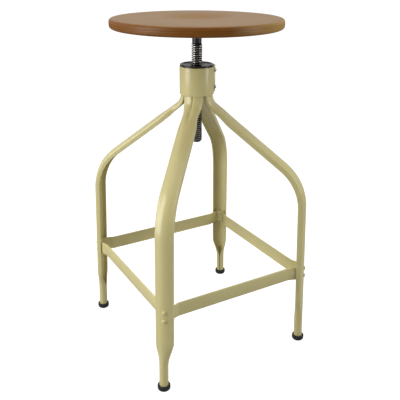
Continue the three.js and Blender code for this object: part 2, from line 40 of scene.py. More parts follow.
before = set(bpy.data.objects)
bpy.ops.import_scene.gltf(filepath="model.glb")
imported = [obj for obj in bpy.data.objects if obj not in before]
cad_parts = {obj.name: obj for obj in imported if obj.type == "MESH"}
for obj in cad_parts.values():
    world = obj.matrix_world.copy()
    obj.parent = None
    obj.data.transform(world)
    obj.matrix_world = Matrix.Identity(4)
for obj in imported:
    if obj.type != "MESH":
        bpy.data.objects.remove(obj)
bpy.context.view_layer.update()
LEG_NUMBERS = (1, 2, 3, 4)
EDGE_STEPS = 5  # points on the half round along the edge of a metal sheet
SKIN_POINTS = 61  # points across a bent sheet
CENTRE_SPACING = 0.45  # spacing of those points at the middle, against even spacing
CLEARANCE = 0.0003  # gap between pieces that touch
TURNING = 0.0008  # rounding or chamfer on the edges of turned pieces
HEX_CHAMFER = 0.0004  # height of the chamfer on a bolt's head or a nut

# sides of a turned piece, by its size
SMALL_SIDES = 40
SCREW_SIDES = 48
FOOT_SIDES = 64
BUSH_SIDES = 72
ROUND_SIDES = 96
LARGE_SIDES = 128
SEAT_SIDES = 192


# ---- sizes and colours ----
def distance(name, description, default):
    return bpy.props.FloatProperty(
        name=name, description=description, default=default, precision=5,
        subtype="DISTANCE", unit="LENGTH",
    )


def angle(name, description, degrees):
    return bpy.props.FloatProperty(
        name=name, description=description, default=math.radians(degrees),
        subtype="ANGLE", unit="ROTATION",
    )


def amount(name, description, default):
    return bpy.props.FloatProperty(name=name, description=description, default=default)


def count(name, description, default):
    return bpy.props.IntProperty(name=name, description=description, default=default, min=1)


def colour(name, description, default):
    return bpy.props.FloatVectorProperty(
        name=name, description=description, default=default,
        subtype="COLOR", size=3, min=0.0, max=1.0,
    )


def node_width(node):
    low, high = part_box(node)
    return high.x - low.x


def node_bottom(node):
    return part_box(node)[0].z


def node_top(node):
    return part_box(node)[1].z


class SeatSizes(bpy.types.PropertyGroup):
    """Sizes of the plywood seat and its steel fittings"""
    radius: distance("Radius", "Radius of the seat", node_width("seat") / 2)
    top: distance("Top", "Height of the seat's rim", node_top("seat"))
    bottom: distance("Bottom", "Height of the seat's underside", node_bottom("seat"))
    edge_round: distance("Edge rounding", "Rounding of the seat's edges", 0.0055)
    dish: distance("Dish", "How far the middle lies below the rim", 0.0015)
    rim_inside: distance("Rim inside", "Inner radius of the flat rim", 0.132)
    plies: count("Plies", "Layers in the plywood", 9)
    plate_radius: distance("Plate radius", "Radius of the plate", node_width("seat_plate") / 2)
    plate_thickness: distance("Plate thickness", "Thickness of the plate", 0.004)
    boss_radius: distance("Boss radius", "Radius of the boss under the plate", 0.017)
    screw_head: distance("Screw head", "Radius of a screw's head", 0.0042)
    screw_recess: distance("Screw recess", "Width of the cross in a screw's head", 0.0009)


class SpindleSizes(bpy.types.PropertyGroup):
    """Sizes of the threaded spindle and its bush"""
    radius: distance("Radius", "Outer radius of the thread", node_width("spindle") / 2)
    root: distance("Root radius", "Radius at the bottom of the thread", 0.00775)
    pitch: distance("Pitch", "Rise of the thread in one turn", 0.004)
    bottom: distance("Bottom", "Height of the lower end", node_bottom("spindle"))
    top: distance("Top", "Height of the top of the neck", node_top("spindle"))
    thread_top: distance("Thread top", "Height where the thread ends", 0.606)
    chamfer: distance("Chamfer", "Chamfer of the lower end", 0.0035)
    neck: distance("Neck radius", "Radius of the plain neck", 0.007)
    sides: count("Sides", "Steps of the thread in one turn", 64)


class CollarSizes(bpy.types.PropertyGroup):
    """Sizes of the clamping collar, its cap, its hub and its bolts"""
    radius: distance("Radius", "Outer radius of the collar", 0.0321)
    wall: distance("Wall", "Thickness of the collar's sheet", 0.0016)
    bottom: distance("Bottom", "Height of the lower edge", node_bottom("clamp_collar"))
    top: distance("Top", "Height of the upper edge", node_top("clamp_collar"))
    ear_reach: distance("Ear reach", "Distance from the axis to the ends of the ears", 0.039)
    ear_half_gap: distance("Half gap", "Half of the gap between the ears", 0.0012)
    edge: distance("Edge rounding", "Rounding of the sheet's edges", 0.0005)
    bolt_offset: distance("Bolt offset", "Distance of the bolts from the axis", 0.0358)
    bolt_radius: distance("Bolt radius", "Radius of a clamping bolt", 0.002)
    nut_height: distance("Nut height", "Height of a nut", 0.0032)
    across_flats: distance("Across flats", "Width of the hexagons", 0.007)
    cap_rim: distance("Cap rim", "Width of the cap's raised rim", 0.0035)
    cap_round: distance("Cap rounding", "Rounding of the cap's rim", 0.0014)
    cap_dish: distance("Cap dish", "Depth of the cap's dish", 0.0014)
    hub_bore: distance("Hub bore", "Radius of the hole for the spindle", 0.0104)
    hub_radius: distance("Hub radius", "Radius of the hub's barrel", 0.0155)


class LegSizes(bpy.types.PropertyGroup):
    """Sizes of the pressed steel legs"""
    width: distance("Width", "Width of the channel", 0.033)
    depth: distance("Depth", "Depth of the channel", 0.0145)
    sheet: distance("Sheet", "Thickness of the steel", 0.0018)
    crown: distance("Crown", "Bulge of the outer face", 0.003)
    corner: distance("Corner", "Outer radius of the channel's corners", 0.005)
    floor_radius: distance("Spread", "Outer face's distance from the axis, at the floor", 0.2337)
    splay: amount("Splay", "Outward lean of the lower leg per unit of height", 0.0437)
    knee_height: distance("Knee height", "Height where the straight parts would meet", 0.358)
    knee_radius: distance("Knee radius", "Radius of the knee", 0.114)
    slope: angle("Slope", "Slope of the upper leg", 37.6)
    shoulder_radius: distance("Shoulder radius", "Radius of the bend into the collar", 0.02)
    top_width: distance("Top width", "Width of the channel in the collar", 0.036)
    top_depth: distance("Top depth", "Depth of the channel in the collar", 0.0106)
    top_corner: distance("Top corner", "Corner radius in the collar", 0.003)
    top_round: distance("Top round", "Radius of the outer face in the collar", 0.027)
    waist_width: distance("Waist width", "Width at the waist below the collar", 0.0275)
    waist_depth: distance("Waist depth", "Depth at the waist", 0.0125)
    waist_corner: distance("Waist corner", "Corner radius at the waist", 0.004)
    waist_back: distance("Waist place", "Distance of the waist below the upper bend", 0.015)
    dimple: distance("Dimple", "Depth of the hollow at the waist", 0.0021)
    dimple_width: distance("Dimple width", "Half width of the hollow", 0.0045)
    top_gap: distance("Top gap", "Clearance inside the collar", 0.0004)
    crease: distance("Crease", "Depth of the crease below the collar", 0.0016)
    crease_width: distance("Crease width", "Half width of the crease", 0.0009)
    crease_length: distance("Neck length", "Length over which the channel narrows", 0.048)
    foot_radius: distance("Foot radius", "Radius of the rolled foot", 0.0085)
    foot_shift: distance("Foot shift", "How far the foot stands to one side", -0.002)
    foot_bottom: distance("Foot bottom", "Height of the lower end of the leg", 0.005)
    foot_seam: angle("Foot seam", "Half of the angle left open in the rolled foot", 5)
    roll_start: distance("Roll start", "Height where the channel starts to close", 0.101)
    roll_end: distance("Roll end", "Height where it is a tube", 0.051)
    cap_sole: distance("Cap sole", "Rounding of a foot cap's sole", 0.0045)
    cap_top: distance("Cap top", "Rounding of a foot cap's upper edge", 0.0022)


class StretcherSizes(bpy.types.PropertyGroup):
    """Sizes of the stretchers and the rivets"""
    height: distance("Height", "Height of a stretcher", 0.0284)
    centre: distance("Centre", "Height of a stretcher's middle", 0.1623)
    offset: distance("Offset", "Distance of the outer face from the middle of the stool", 0.1553)
    depth: distance("Depth", "Depth of the section", 0.0037)
    sheet: distance("Sheet", "Thickness of the steel", 0.0015)
    crown: distance("Crown", "Bulge of the outer face", 0.001)
    corner: distance("Corner", "Radius of the section's corners", 0.0022)
    bend_at: distance("Bend at", "Where the ends start to lean out", 0.126)
    flare: angle("Flare", "Angle of the ends", 17)
    bend_radius: distance("Bend radius", "Radius of the bend", 0.024)
    tab_bend: distance("Tab bend", "Radius of the bend of a tab", 0.005)
    tab_seat: distance("Tab seat", "Distance from the axis to the outer tab", 0.2222)
    tab_reach: distance("Tab reach", "How far a tab passes the middle of the leg", 0.0065)
    gap: distance("Gap", "Clearance between the sheets", 0.0003)
    rivet_head: distance("Rivet head", "Radius of a rivet's head", 0.0042)
    rivet_height: distance("Rivet height", "Height of a rivet's head", 0.0022)
    rivet_spacing: distance("Rivet spacing", "Distance between a leg's rivets", 0.0166)
    rivet_drop: distance("Rivet drop", "Drop of the rivets below the middle", 0.0009)
    rivet_shift: distance("Rivet shift", "How far the rivets sit to one side", 0.002)


class Finishes(bpy.types.PropertyGroup):
    """Colours of the stool's finishes"""
    enamel: colour("Enamel", "Cream enamel", (0.69, 0.612, 0.282))
    enamel_thin: colour("Thin enamel", "Enamel where it is thinner", (0.65, 0.57, 0.255))
    veneer: colour("Veneer", "Light part of the face veneer", (0.36, 0.205, 0.08))
    veneer_dark: colour("Veneer pores", "Dark part of the face veneer", (0.24, 0.125, 0.045))
    ply_light: colour("Light ply", "Light layers at the seat's edge", (0.28, 0.105, 0.008))
    ply_dark: colour("Dark ply", "Dark layers at the seat's edge", (0.16, 0.05, 0.002))
    # pale ply: partly the paler long grain of the layers, partly painted light on the seat's
    # right-hand side
    ply_pale_grain_and_light: colour("Pale ply", "Layers that show their long grain", (0.44, 0.26, 0.06))
    steel: colour("Black steel", "Blackened steel", (0.012, 0.0115, 0.011))
    steel_worn: colour("Worn steel", "Steel showing on the thread's crests", (0.50, 0.48, 0.45))
    plastic: colour("Black plastic", "Moulded cap", (0.006, 0.006, 0.007))
    rubber: colour("Black rubber", "Foot caps", (0.006, 0.006, 0.006))
    zinc: colour("Zinc", "Plated fasteners", (0.16, 0.157, 0.15))


class StageSettings(bpy.types.PropertyGroup):
    """Floor, light and camera"""
    floor: colour("Floor", "Colour of the floor", (0.40, 0.40, 0.40))
    floor_size: distance("Floor size", "Width of the floor", 40.0)
    floor_glow: amount("Floor glow", "Whiteness that is added to the floor as it is seen", 0.86)
    sky: colour("Surroundings", "Light from all round", (0.82, 0.82, 0.81))
    sky_strength: amount("Surroundings strength", "Strength of the light all round", 0.72)
    sky_behind: amount("Behind the camera", "Share of that light behind the camera", 0.2)
    key: amount("Key light", "Power of the large light on the left, in watts", 34.0)
    fill: amount("Fill light", "Power of the light on the right, in watts", 13.0)
    top: amount("Top light", "Power of the overhead light, in watts", 8.0)
    lens: amount("Lens", "Focal length of the camera, in millimetres", 51.18)
    camera: bpy.props.FloatVectorProperty(
        name="Camera", description="Place of the camera", default=(-0.5304, -0.9259, 0.7482),
        subtype="XYZ", unit="LENGTH",
    )
    aim: bpy.props.FloatVectorProperty(
        name="Aim", description="Direction of the camera", default=(0.46267, 0.79574, -0.39081),
        subtype="DIRECTION",
    )
    roll: angle("Roll", "Roll of the camera", 0.236)


SETTINGS = {
    "stool_seat": SeatSizes,
    "stool_spindle": SpindleSizes,
    "stool_collar": CollarSizes,
    "stool_legs": LegSizes,
    "stool_stretchers": StretcherSizes,
    "stool_finishes": Finishes,
    "stool_stage": StageSettings,
}


# ---- finishes ----
class Finish:
    """A material under construction: its nodes and its shader."""

    def __init__(self, name, base, roughness=0.5, metallic=0.0, specular=0.5):
        self.material = bpy.data.materials.new(name)
        self.material.use_nodes = True
        self.tree = self.material.node_tree
        self.shader = self.tree.nodes["Principled BSDF"]
        self.shader.inputs["Base Color"].default_value = (*base, 1.0)
        self.shader.inputs["Roughness"].default_value = roughness
        self.shader.inputs["Metallic"].default_value = metallic
        self.shader.inputs["Specular IOR Level"].default_value = specular
        self.place = self.add("ShaderNodeTexCoord")

    def add(self, kind, **values):
        node = self.tree.nodes.new(kind)
        for key, value in values.items():
            setattr(node, key, value)
        return node

    def link(self, source, target):
        self.tree.links.new(source, target)

    def parts(self, output):
        """The X, Y and Z of a place or a direction."""
        node = self.add("ShaderNodeSeparateXYZ")
        self.link(self.place.outputs[output], node.inputs["Vector"])
        return node.outputs

    def stretched(self, scale):
        mapping = self.add("ShaderNodeMapping")
        mapping.inputs["Scale"].default_value = scale
        self.link(self.place.outputs["Object"], mapping.inputs["Vector"])
        return mapping.outputs["Vector"]

    def noise(self, scale, detail=3.0, stretch=None, distortion=0.0):
        node = self.add("ShaderNodeTexNoise")
        node.inputs["Scale"].default_value = scale
        node.inputs["Detail"].default_value = detail
        node.inputs["Distortion"].default_value = distortion
        vector = self.stretched(stretch) if stretch else self.place.outputs["Object"]
        self.link(vector, node.inputs["Vector"])
        return node.outputs["Fac"]

    def math(self, operation, first, second=0.0):
        node = self.add("ShaderNodeMath", operation=operation)
        for socket, value in zip(node.inputs, (first, second)):
            if isinstance(value, (int, float)):
                socket.default_value = value
            else:
                self.link(value, socket)
        return node.outputs[0]

    def ramp(self, factor, *stops):
        node = self.add("ShaderNodeValToRGB")
        points = node.color_ramp.elements
        while len(points) < len(stops):
            points.new(0.5)
        for point, (position, value) in zip(points, stops):
            point.position = position
            shade = (value,) * 3 if isinstance(value, (int, float)) else tuple(value)
            point.color = (*shade, 1.0)
        self.link(factor, node.inputs["Fac"])
        return node.outputs["Color"]

    def mix(self, factor, first, second):
        node = self.add("ShaderNodeMix", data_type="RGBA")
        self.link(factor, node.inputs["Factor"])
        for socket, value in zip((node.inputs[6], node.inputs[7]), (first, second)):
            if isinstance(value, bpy.types.NodeSocket):
                self.link(value, socket)
            else:
                socket.default_value = (*value, 1.0)
        return node.outputs[2]

    def colour_from(self, socket):
        self.link(socket, self.shader.inputs["Base Color"])

    def roughness_from(self, factor, low, high):
        self.link(self.ramp(factor, (0.25, low), (0.75, high)), self.shader.inputs["Roughness"])

    def bump(self, height, strength, reach):
        node = self.add("ShaderNodeBump")
        node.inputs["Strength"].default_value = strength
        node.inputs["Distance"].default_value = reach
        self.link(height, node.inputs["Height"])
        previous = self.shader.inputs["Normal"].links
        if previous:
            self.link(previous[0].from_socket, node.inputs["Normal"])
        self.link(node.outputs["Normal"], self.shader.inputs["Normal"])


def cream_enamel(colours):
    finish = Finish("cream_enamel", colours.enamel)
    finish.colour_from(finish.mix(finish.noise(14, 4), colours.enamel, colours.enamel_thin))
    finish.roughness_from(finish.noise(60, 3), 0.30, 0.42)
    finish.bump(finish.noise(380, 2), 0.10, 0.0004)
    finish.bump(finish.noise(45, 2), 0.12, 0.0012)
    finish.shader.inputs["Coat Weight"].default_value = 0.6
    finish.shader.inputs["Coat Roughness"].default_value = 0.2
    return finish.material


def lacquered_plywood(colours):
    seat = bpy.context.scene.stool_seat
    finish = Finish("lacquered_plywood", colours.veneer, specular=0.32)
    grain = finish.noise(9, 6, stretch=(1.5, 22, 1.5), distortion=0.6)
    pores = finish.noise(60, 3, stretch=(0.6, 26, 1))
    figure = finish.noise(5, 2, stretch=(1, 3, 1))
    bands = finish.ramp(grain, (0.35, 0.0), (0.65, 1.0))
    face = finish.mix(bands, colours.veneer, colours.veneer_dark)
    face = finish.mix(finish.ramp(pores, (0.56, 0.0), (0.72, 0.75)), face, colours.veneer_dark)
    thickness = (seat.top - seat.bottom) / seat.plies
    height = finish.math("SUBTRACT", finish.parts("Object")["Z"], seat.bottom)
    level = finish.math("DIVIDE", height, thickness)
    waver = finish.math("MULTIPLY", finish.noise(12, 2, stretch=(1, 1, 0.1)), 0.35)
    level = finish.math("ADD", level, waver)
    glue = finish.ramp(
        finish.math("FRACT", level), (0.0, 1.0), (0.10, 0.25), (0.16, 0.0), (0.9, 0.0), (1.0, 0.8))
    turn = finish.math("FRACT", finish.math("MULTIPLY", level, 0.5))
    layer = finish.ramp(turn, (0.0, 0.15), (0.46, 0.2), (0.54, 0.75), (0.96, 0.8), (1.0, 0.15))
    streaks = finish.noise(40, 4, stretch=(1, 1, 14))
    edge = finish.mix(layer, colours.ply_light, colours.ply_dark)
    edge = finish.mix(finish.ramp(streaks, (0.45, 0.0), (0.75, 0.6)), edge, colours.ply_dark)
    edge = finish.mix(glue, edge, tuple(0.55 * value for value in colours.ply_dark))
    # the edge is painted paler on one side of the seat, the side to the camera's right: partly the
    # long grain of the layers, partly painted light from the right-hand lamp
    side = finish.add("ShaderNodeVectorMath", operation="DOT_PRODUCT")
    finish.link(finish.place.outputs["Object"], side.inputs[0])
    side.inputs[1].default_value = (0.86 / seat.radius, -0.5 / seat.radius, 0.0)
    pale_grain_and_light = finish.math("MULTIPLY", finish.ramp(side.outputs["Value"], (0.35, 0.0), (0.95, 0.8)),
                       finish.math("SUBTRACT", 1.2, finish.math("MULTIPLY", glue, 0.8)))
    edge = finish.mix(pale_grain_and_light, edge, colours.ply_pale_grain_and_light)
    upright = finish.math("ABSOLUTE", finish.parts("Normal")["Z"])
    mask = finish.ramp(upright, (0.9, 0.0), (0.97, 1.0))
    finish.colour_from(finish.mix(mask, edge, finish.mix(figure, face, colours.veneer)))
    # the lacquer is worn duller in the middle of the seat
    middle = finish.add("ShaderNodeVectorMath", operation="DISTANCE")
    finish.link(finish.place.outputs["Object"], middle.inputs[0])
    middle.inputs[1].default_value = (0.018, 0.03, seat.top)
    uneven = finish.math("MULTIPLY", finish.noise(14, 3), 0.03)
    worn = finish.math("ADD", middle.outputs["Value"], uneven)
    dull = finish.ramp(finish.math("MULTIPLY", worn, 10.0), (0.35, 0.75), (0.85, 0.42))
    finish.link(dull, finish.shader.inputs["Roughness"])
    finish.bump(grain, 0.10, 0.0003)
    finish.bump(finish.noise(18, 2), 0.10, 0.002)
    return finish.material


def thread_steel(colours):
    """Blackened steel, bright on the crests of the thread where the hub rubs it."""
    spindle = bpy.context.scene.stool_spindle
    finish = Finish("thread_steel", colours.steel, metallic=0.85)
    place = finish.parts("Object")
    squares = [finish.math("POWER", place[axis], 2.0) for axis in ("X", "Y")]
    reach = finish.math("SQRT", finish.math("ADD", *squares))
    rubbed = 0.0006
    crest = finish.math("DIVIDE", finish.math("SUBTRACT", reach, spindle.radius - rubbed), rubbed)
    uneven = finish.ramp(finish.noise(240, 3), (0.3, 0.35), (0.6, 1.0))
    worn = finish.math("MULTIPLY", crest, uneven)
    finish.colour_from(finish.mix(
        finish.ramp(worn, (0.25, 0.0), (0.85, 1.0)), colours.steel, colours.steel_worn))
    finish.roughness_from(finish.noise(300, 2), 0.18, 0.34)
    finish.bump(finish.noise(900, 2), 0.1, 0.0002)
    return finish.material


# Each row: the name of its colour, a second colour in patches, the scale and detail of the
# patches, the scale and limits of the roughness, and the scale, strength and reach of the bump.
PLAIN_FINISHES = {
    "black_steel": dict(
        base="steel", second=(0.05, 0.048, 0.045), patches=(90, 4), stops=((0.4, 0.0), (0.7, 0.5)),
        rough=(160, 0.28, 0.5), grain=(700, 2, 0.12, 0.0003), metallic=0.6),
    "black_plastic": dict(
        base="plastic", second=(0.012, 0.012, 0.013), patches=(80, 3),
        rough=(120, 0.16, 0.3), grain=(600, 2, 0.06, 0.0003), specular=0.3),
    "black_rubber": dict(
        base="rubber", second=(0.016, 0.016, 0.015), patches=(120, 4),
        rough=(200, 0.5, 0.75), grain=(900, 3, 0.25, 0.0003)),
    "zinc_plate": dict(
        base="zinc", second=(0.3, 0.29, 0.26), patches=(220, 3),
        rough=(300, 0.25, 0.5), grain=(1200, 2, 0.1, 0.0002), metallic=1.0),
}


def plain_finish(name, colours, base, second, patches, rough, grain, stops=None, **gloss):
    """A finish of two close colours in patches, with a fine grain."""
    shade = getattr(colours, base)
    finish = Finish(name, shade, **gloss)
    patch = finish.noise(*patches)
    finish.colour_from(finish.mix(finish.ramp(patch, *stops) if stops else patch, shade, second))
    scale, low, high = rough
    finish.roughness_from(finish.noise(scale, 3), low, high)
    scale, detail, strength, reach = grain
    finish.bump(finish.noise(scale, detail), strength, reach)
    return finish.material


SPECIAL_FINISHES = {
    maker.__name__: maker for maker in (cream_enamel, lacquered_plywood, thread_steel)}


def finish_named(name):
    """Returns a finish, and makes it the first time that it is asked for."""
    found = bpy.data.materials.get(name)
    colours = bpy.context.scene.stool_finishes
    if found:
        return found
    if name in SPECIAL_FINISHES:
        return SPECIAL_FINISHES[name](colours)
    return plain_finish(name, colours, **PLAIN_FINISHES[name])


# ---- meshes ----
def piece(name, mesh, finish, slot, body, *nodes, crease=32):
    """Puts a mesh in the scene as a piece that stands for some nodes of the frame."""
    made = bpy.data.objects.new(name, mesh)
    bpy.context.scene.collection.objects.link(made)
    mesh.materials.append(finish_named(finish))
    mesh.shade_smooth()
    mesh.set_sharp_from_angle(angle=math.radians(crease))
    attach(made, body)
    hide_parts(*nodes)


def mesh_from(name, points, faces):
    """A mesh whose faces all look outwards."""
    mesh = bpy.data.meshes.new(name)
    mesh.from_pydata([tuple(p) for p in points], [], faces)
    form = bmesh.new()
    form.from_mesh(mesh)
    bmesh.ops.remove_doubles(form, verts=form.verts, dist=1e-7)
    bmesh.ops.recalc_face_normals(form, faces=form.faces)
    form.to_mesh(mesh)
    form.free()
    return mesh


def moved(mesh, matrix):
    mesh.transform(matrix)
    return mesh


def joined(name, *meshes):
    """One mesh with the shells of several."""
    form = bmesh.new()
    for mesh in meshes:
        form.from_mesh(mesh)
    result = bpy.data.meshes.new(name)
    form.to_mesh(result)
    form.free()
    return result


def rounded(centre, radius, start, stop, steps=6):
    """Points of a round between two angles in degrees, as (radius, height) pairs."""
    angles = [math.radians(start + (stop - start) * i / steps) for i in range(steps + 1)]
    return [(centre[0] + radius * math.cos(a), centre[1] + radius * math.sin(a)) for a in angles]


def turned(name, profile, sides=ROUND_SIDES):
    """A body of revolution about Z. A profile that leaves the axis is closed into a ring."""
    ring = profile[0][0] > 0
    rows = profile if ring else profile[1:-1]
    points, faces = [], []
    for radius, height in rows:
        for side in range(sides):
            turn = 2 * math.pi * side / sides
            points.append((radius * math.cos(turn), radius * math.sin(turn), height))
    spans = len(rows) if ring else len(rows) - 1
    for row in range(spans):
        after = (row + 1) % len(rows)
        for side in range(sides):
            beside = (side + 1) % sides
            faces.append((
                row * sides + side, row * sides + beside,
                after * sides + beside, after * sides + side))
    if not ring:
        for row, (_, height) in ((0, profile[0]), (len(rows) - 1, profile[-1])):
            points.append((0.0, 0.0, height))
            middle = len(points) - 1
            faces += [
                (middle, row * sides + side, row * sides + (side + 1) % sides)
                for side in range(sides)]
    return mesh_from(name, points, faces)


def cut(name, mesh, tool, operation):
    """Boolean of two meshes, with the result as a plain mesh."""
    base, other = (bpy.data.objects.new(name, m) for m in (mesh, tool))
    for made in (base, other):
        bpy.context.scene.collection.objects.link(made)
    change = base.modifiers.new("cut", "BOOLEAN")
    change.object = other
    change.operation = operation
    change.solver = "EXACT"
    bpy.context.view_layer.update()
    evaluated = base.evaluated_get(bpy.context.evaluated_depsgraph_get())
    result = bpy.data.meshes.new_from_object(evaluated)
    for made in (base, other):
        bpy.data.objects.remove(made)
    form = bmesh.new()
    form.from_mesh(result)
    bmesh.ops.remove_doubles(form, verts=form.verts, dist=2e-6)
    bmesh.ops.dissolve_degenerate(form, edges=form.edges, dist=1e-6)
    form.to_mesh(result)
    form.free()
    return result


def bevelled(mesh, width, segments=3, limit=40):
    """Rounds every edge of a mesh that is sharper than a limit in degrees."""
    form = bmesh.new()
    form.from_mesh(mesh)
    sharp = [
        edge for edge in form.edges
        if edge.is_manifold and edge.calc_face_angle() > math.radians(limit)]
    bmesh.ops.bevel(
        form, geom=sharp, offset=width, segments=segments, profile=0.5, affect="EDGES",
        clamp_overlap=True)
    form.to_mesh(mesh)
    form.free()
    return mesh


def prism(name, outline, low, high):
    """A closed outline in X and Y drawn up from one height to another."""
    total = len(outline)
    points = [(x, y, z) for z in (low, high) for x, y in outline]
    faces = [(i, (i + 1) % total, total + (i + 1) % total, total + i) for i in range(total)]
    faces += [tuple(range(total)), tuple(range(total, 2 * total))]
    return mesh_from(name, points, faces)


# ---- bent sheet ----
def spread(i):
    """Place of a point across a sheet, from -1 to 1, closer together at the middle."""
    even = 2 * i / (SKIN_POINTS - 1) - 1
    return CENTRE_SPACING * even + (1 - CENTRE_SPACING) * even ** 3


def resampled(points):
    """Points of a bent sheet, spread along a line of points."""
    lengths = [0.0]
    for before, after in zip(points, points[1:]):
        lengths.append(lengths[-1] + (after - before).length)
    result, span = [], 0
    for i in range(SKIN_POINTS):
        target = lengths[-1] * (spread(i) + 1) / 2
        while span < len(points) - 2 and lengths[span + 1] < target:
            span += 1
        share = (target - lengths[span]) / (lengths[span + 1] - lengths[span])
        result.append(points[span].lerp(points[span + 1], share))
    return result


def channel_outline(width, depth, corner, dip):
    """Outline of a channel: x across it, y its depth below the middle of its outer face."""
    flat = width / 2 - corner
    edge = dip(flat) + corner
    half = [Vector((flat * i / 12, dip(flat * i / 12))) for i in range(13)]
    turns = [math.radians(90 * i / 10) for i in range(1, 11)]
    half += [Vector((flat + corner * math.sin(a), edge - corner * math.cos(a))) for a in turns]
    half += [Vector((width / 2, edge + (depth - edge) * i / 6)) for i in range(1, 7)]
    other = [Vector((-p.x, p.y)) for p in reversed(half[1:])]
    return resampled(other + half)


def along(outline, i):
    before, after = outline[max(i - 1, 0)], outline[min(i + 1, len(outline) - 1)]
    return (after - before).normalized()


def sheet_section(outline, sheet):
    """The closed section of a sheet: its outer skin, a round edge, its inner skin, a round edge."""
    half = sheet / 2
    last = len(outline) - 1
    middle = []
    for i, point in enumerate(outline):
        way = along(outline, i)
        middle.append((point + Vector((-way.y, way.x)) * half, way))
    # the ends of the middle line stop half a thickness short, for the round edges
    middle[0] = (middle[0][0] + middle[0][1] * half, middle[0][1])
    middle[last] = (middle[last][0] - middle[last][1] * half, middle[last][1])
    outer = [point + Vector((way.y, -way.x)) * half for point, way in middle]
    inner = [point - Vector((way.y, -way.x)) * half for point, way in middle]

    def edge(point, way, sign):
        side = Vector((way.y, -way.x)) * sign
        turns = [math.pi * i / (EDGE_STEPS + 1) for i in range(1, EDGE_STEPS + 1)]
        return [point + side * half * math.cos(a) + way * sign * half * math.sin(a) for a in turns]

    return outer + edge(*middle[last], 1) + inner[::-1] + edge(*middle[0], -1)


def sheet_mesh(name, rings):
    """Joins the sections of a bent sheet, and closes its two ends."""
    size = len(rings[0])
    points = [p for ring in rings for p in ring]
    faces = []
    for r in range(len(rings) - 1):
        for i in range(size):
            j = (i + 1) % size
            faces.append((r * size + i, r * size + j, (r + 1) * size + j, (r + 1) * size + i))
    skin = SKIN_POINTS
    for base in (0, (len(rings) - 1) * size):
        inner = [base + 2 * skin + EDGE_STEPS - 1 - i for i in range(skin)]
        outer = [base + i for i in range(skin)]
        for i in range(skin - 1):
            faces.append((outer[i], outer[i + 1], inner[i + 1], inner[i]))
        faces.append((outer[-1], *range(base + skin, base + skin + EDGE_STEPS), inner[-1]))
        faces.append((inner[0], *range(base + 2 * skin + EDGE_STEPS, base + size), outer[0]))
    return mesh_from(name, points, faces)


def bend(corner, way_in, way_out, radius, steps):
    """Stations of a round bend between two straight lines: a place and a direction each."""
    turn = math.acos(max(-1.0, min(1.0, way_in.dot(way_out))))
    left = 1.0 if way_in.x * way_out.y - way_in.y * way_out.x > 0 else -1.0
    side = Vector((-way_in.y, way_in.x)) * left
    start = corner - way_in * radius * math.tan(turn / 2)
    centre = start + side * radius
    result = []
    for i in range(steps + 1):
        a = turn * i / steps
        way = way_in * math.cos(a) + side * math.sin(a)
        spoke = way_in * math.sin(a) - side * math.cos(a)
        result.append((centre + spoke * radius, way))
    return result


def smooth(value, low, high):
    share = max(0.0, min(1.0, (value - low) / (high - low)))
    return share * share * (3 - 2 * share)


def blended(first, second, share):
    return [a.lerp(b, share) for a, b in zip(first, second)]


# ---- legs ----
def face_radius(legs, height):
    return legs.floor_radius - legs.splay * height


def collar_reach(legs, collar):
    """Distance of a leg's outer face from the axis, inside the collar."""
    return collar.radius - collar.wall - legs.top_gap


def leg_path(legs, collar):
    """Stations of a leg's outer face in its own plane, from the foot up.

    Two distances from the axis follow: where the leg starts to narrow, and where it is narrowest.
    """
    up = Vector((-legs.splay, 1)).normalized()
    slope = Vector((-math.cos(legs.slope), math.sin(legs.slope)))
    upright = Vector((0.0, 1.0))
    reach = collar_reach(legs, collar)

    def on_face(height):
        return Vector((face_radius(legs, height), height)), up

    knee = Vector((face_radius(legs, legs.knee_height), legs.knee_height))
    shoulder = Vector((reach, knee.y + (knee.x - reach) * math.tan(legs.slope)))
    roll_low, roll_high = legs.roll_end - 0.006, legs.roll_start + 0.004
    rise = roll_low - legs.foot_bottom
    foot = [on_face(legs.foot_bottom + rise * i / 4) for i in range(4)]
    roll = [on_face(roll_low + (roll_high - roll_low) * i / 26) for i in range(27)]
    straight = [on_face(height) for height in (0.125, 0.145, 0.18, 0.22, 0.26, 0.30)]
    lower = bend(knee, up, slope, legs.knee_radius, 26)
    upper = bend(shoulder, slope, upright, legs.shoulder_radius, 12)
    neck_start = upper[0][0] - slope * legs.crease_length
    waist = upper[0][0] - slope * legs.waist_back
    shank = [(lower[-1][0].lerp(neck_start, i / 5), slope) for i in range(1, 5)]
    neck = [(neck_start.lerp(upper[0][0], i / 24), slope) for i in range(24)]
    top = node_top("leg_1")
    bent = upper[-1][0].y
    high = [(Vector((reach, bent + (top - bent) * i / 3)), upright) for i in (1, 2, 3)]
    stations = foot + roll + straight + lower + shank + neck + upper + high
    return stations, neck_start.x, waist.x


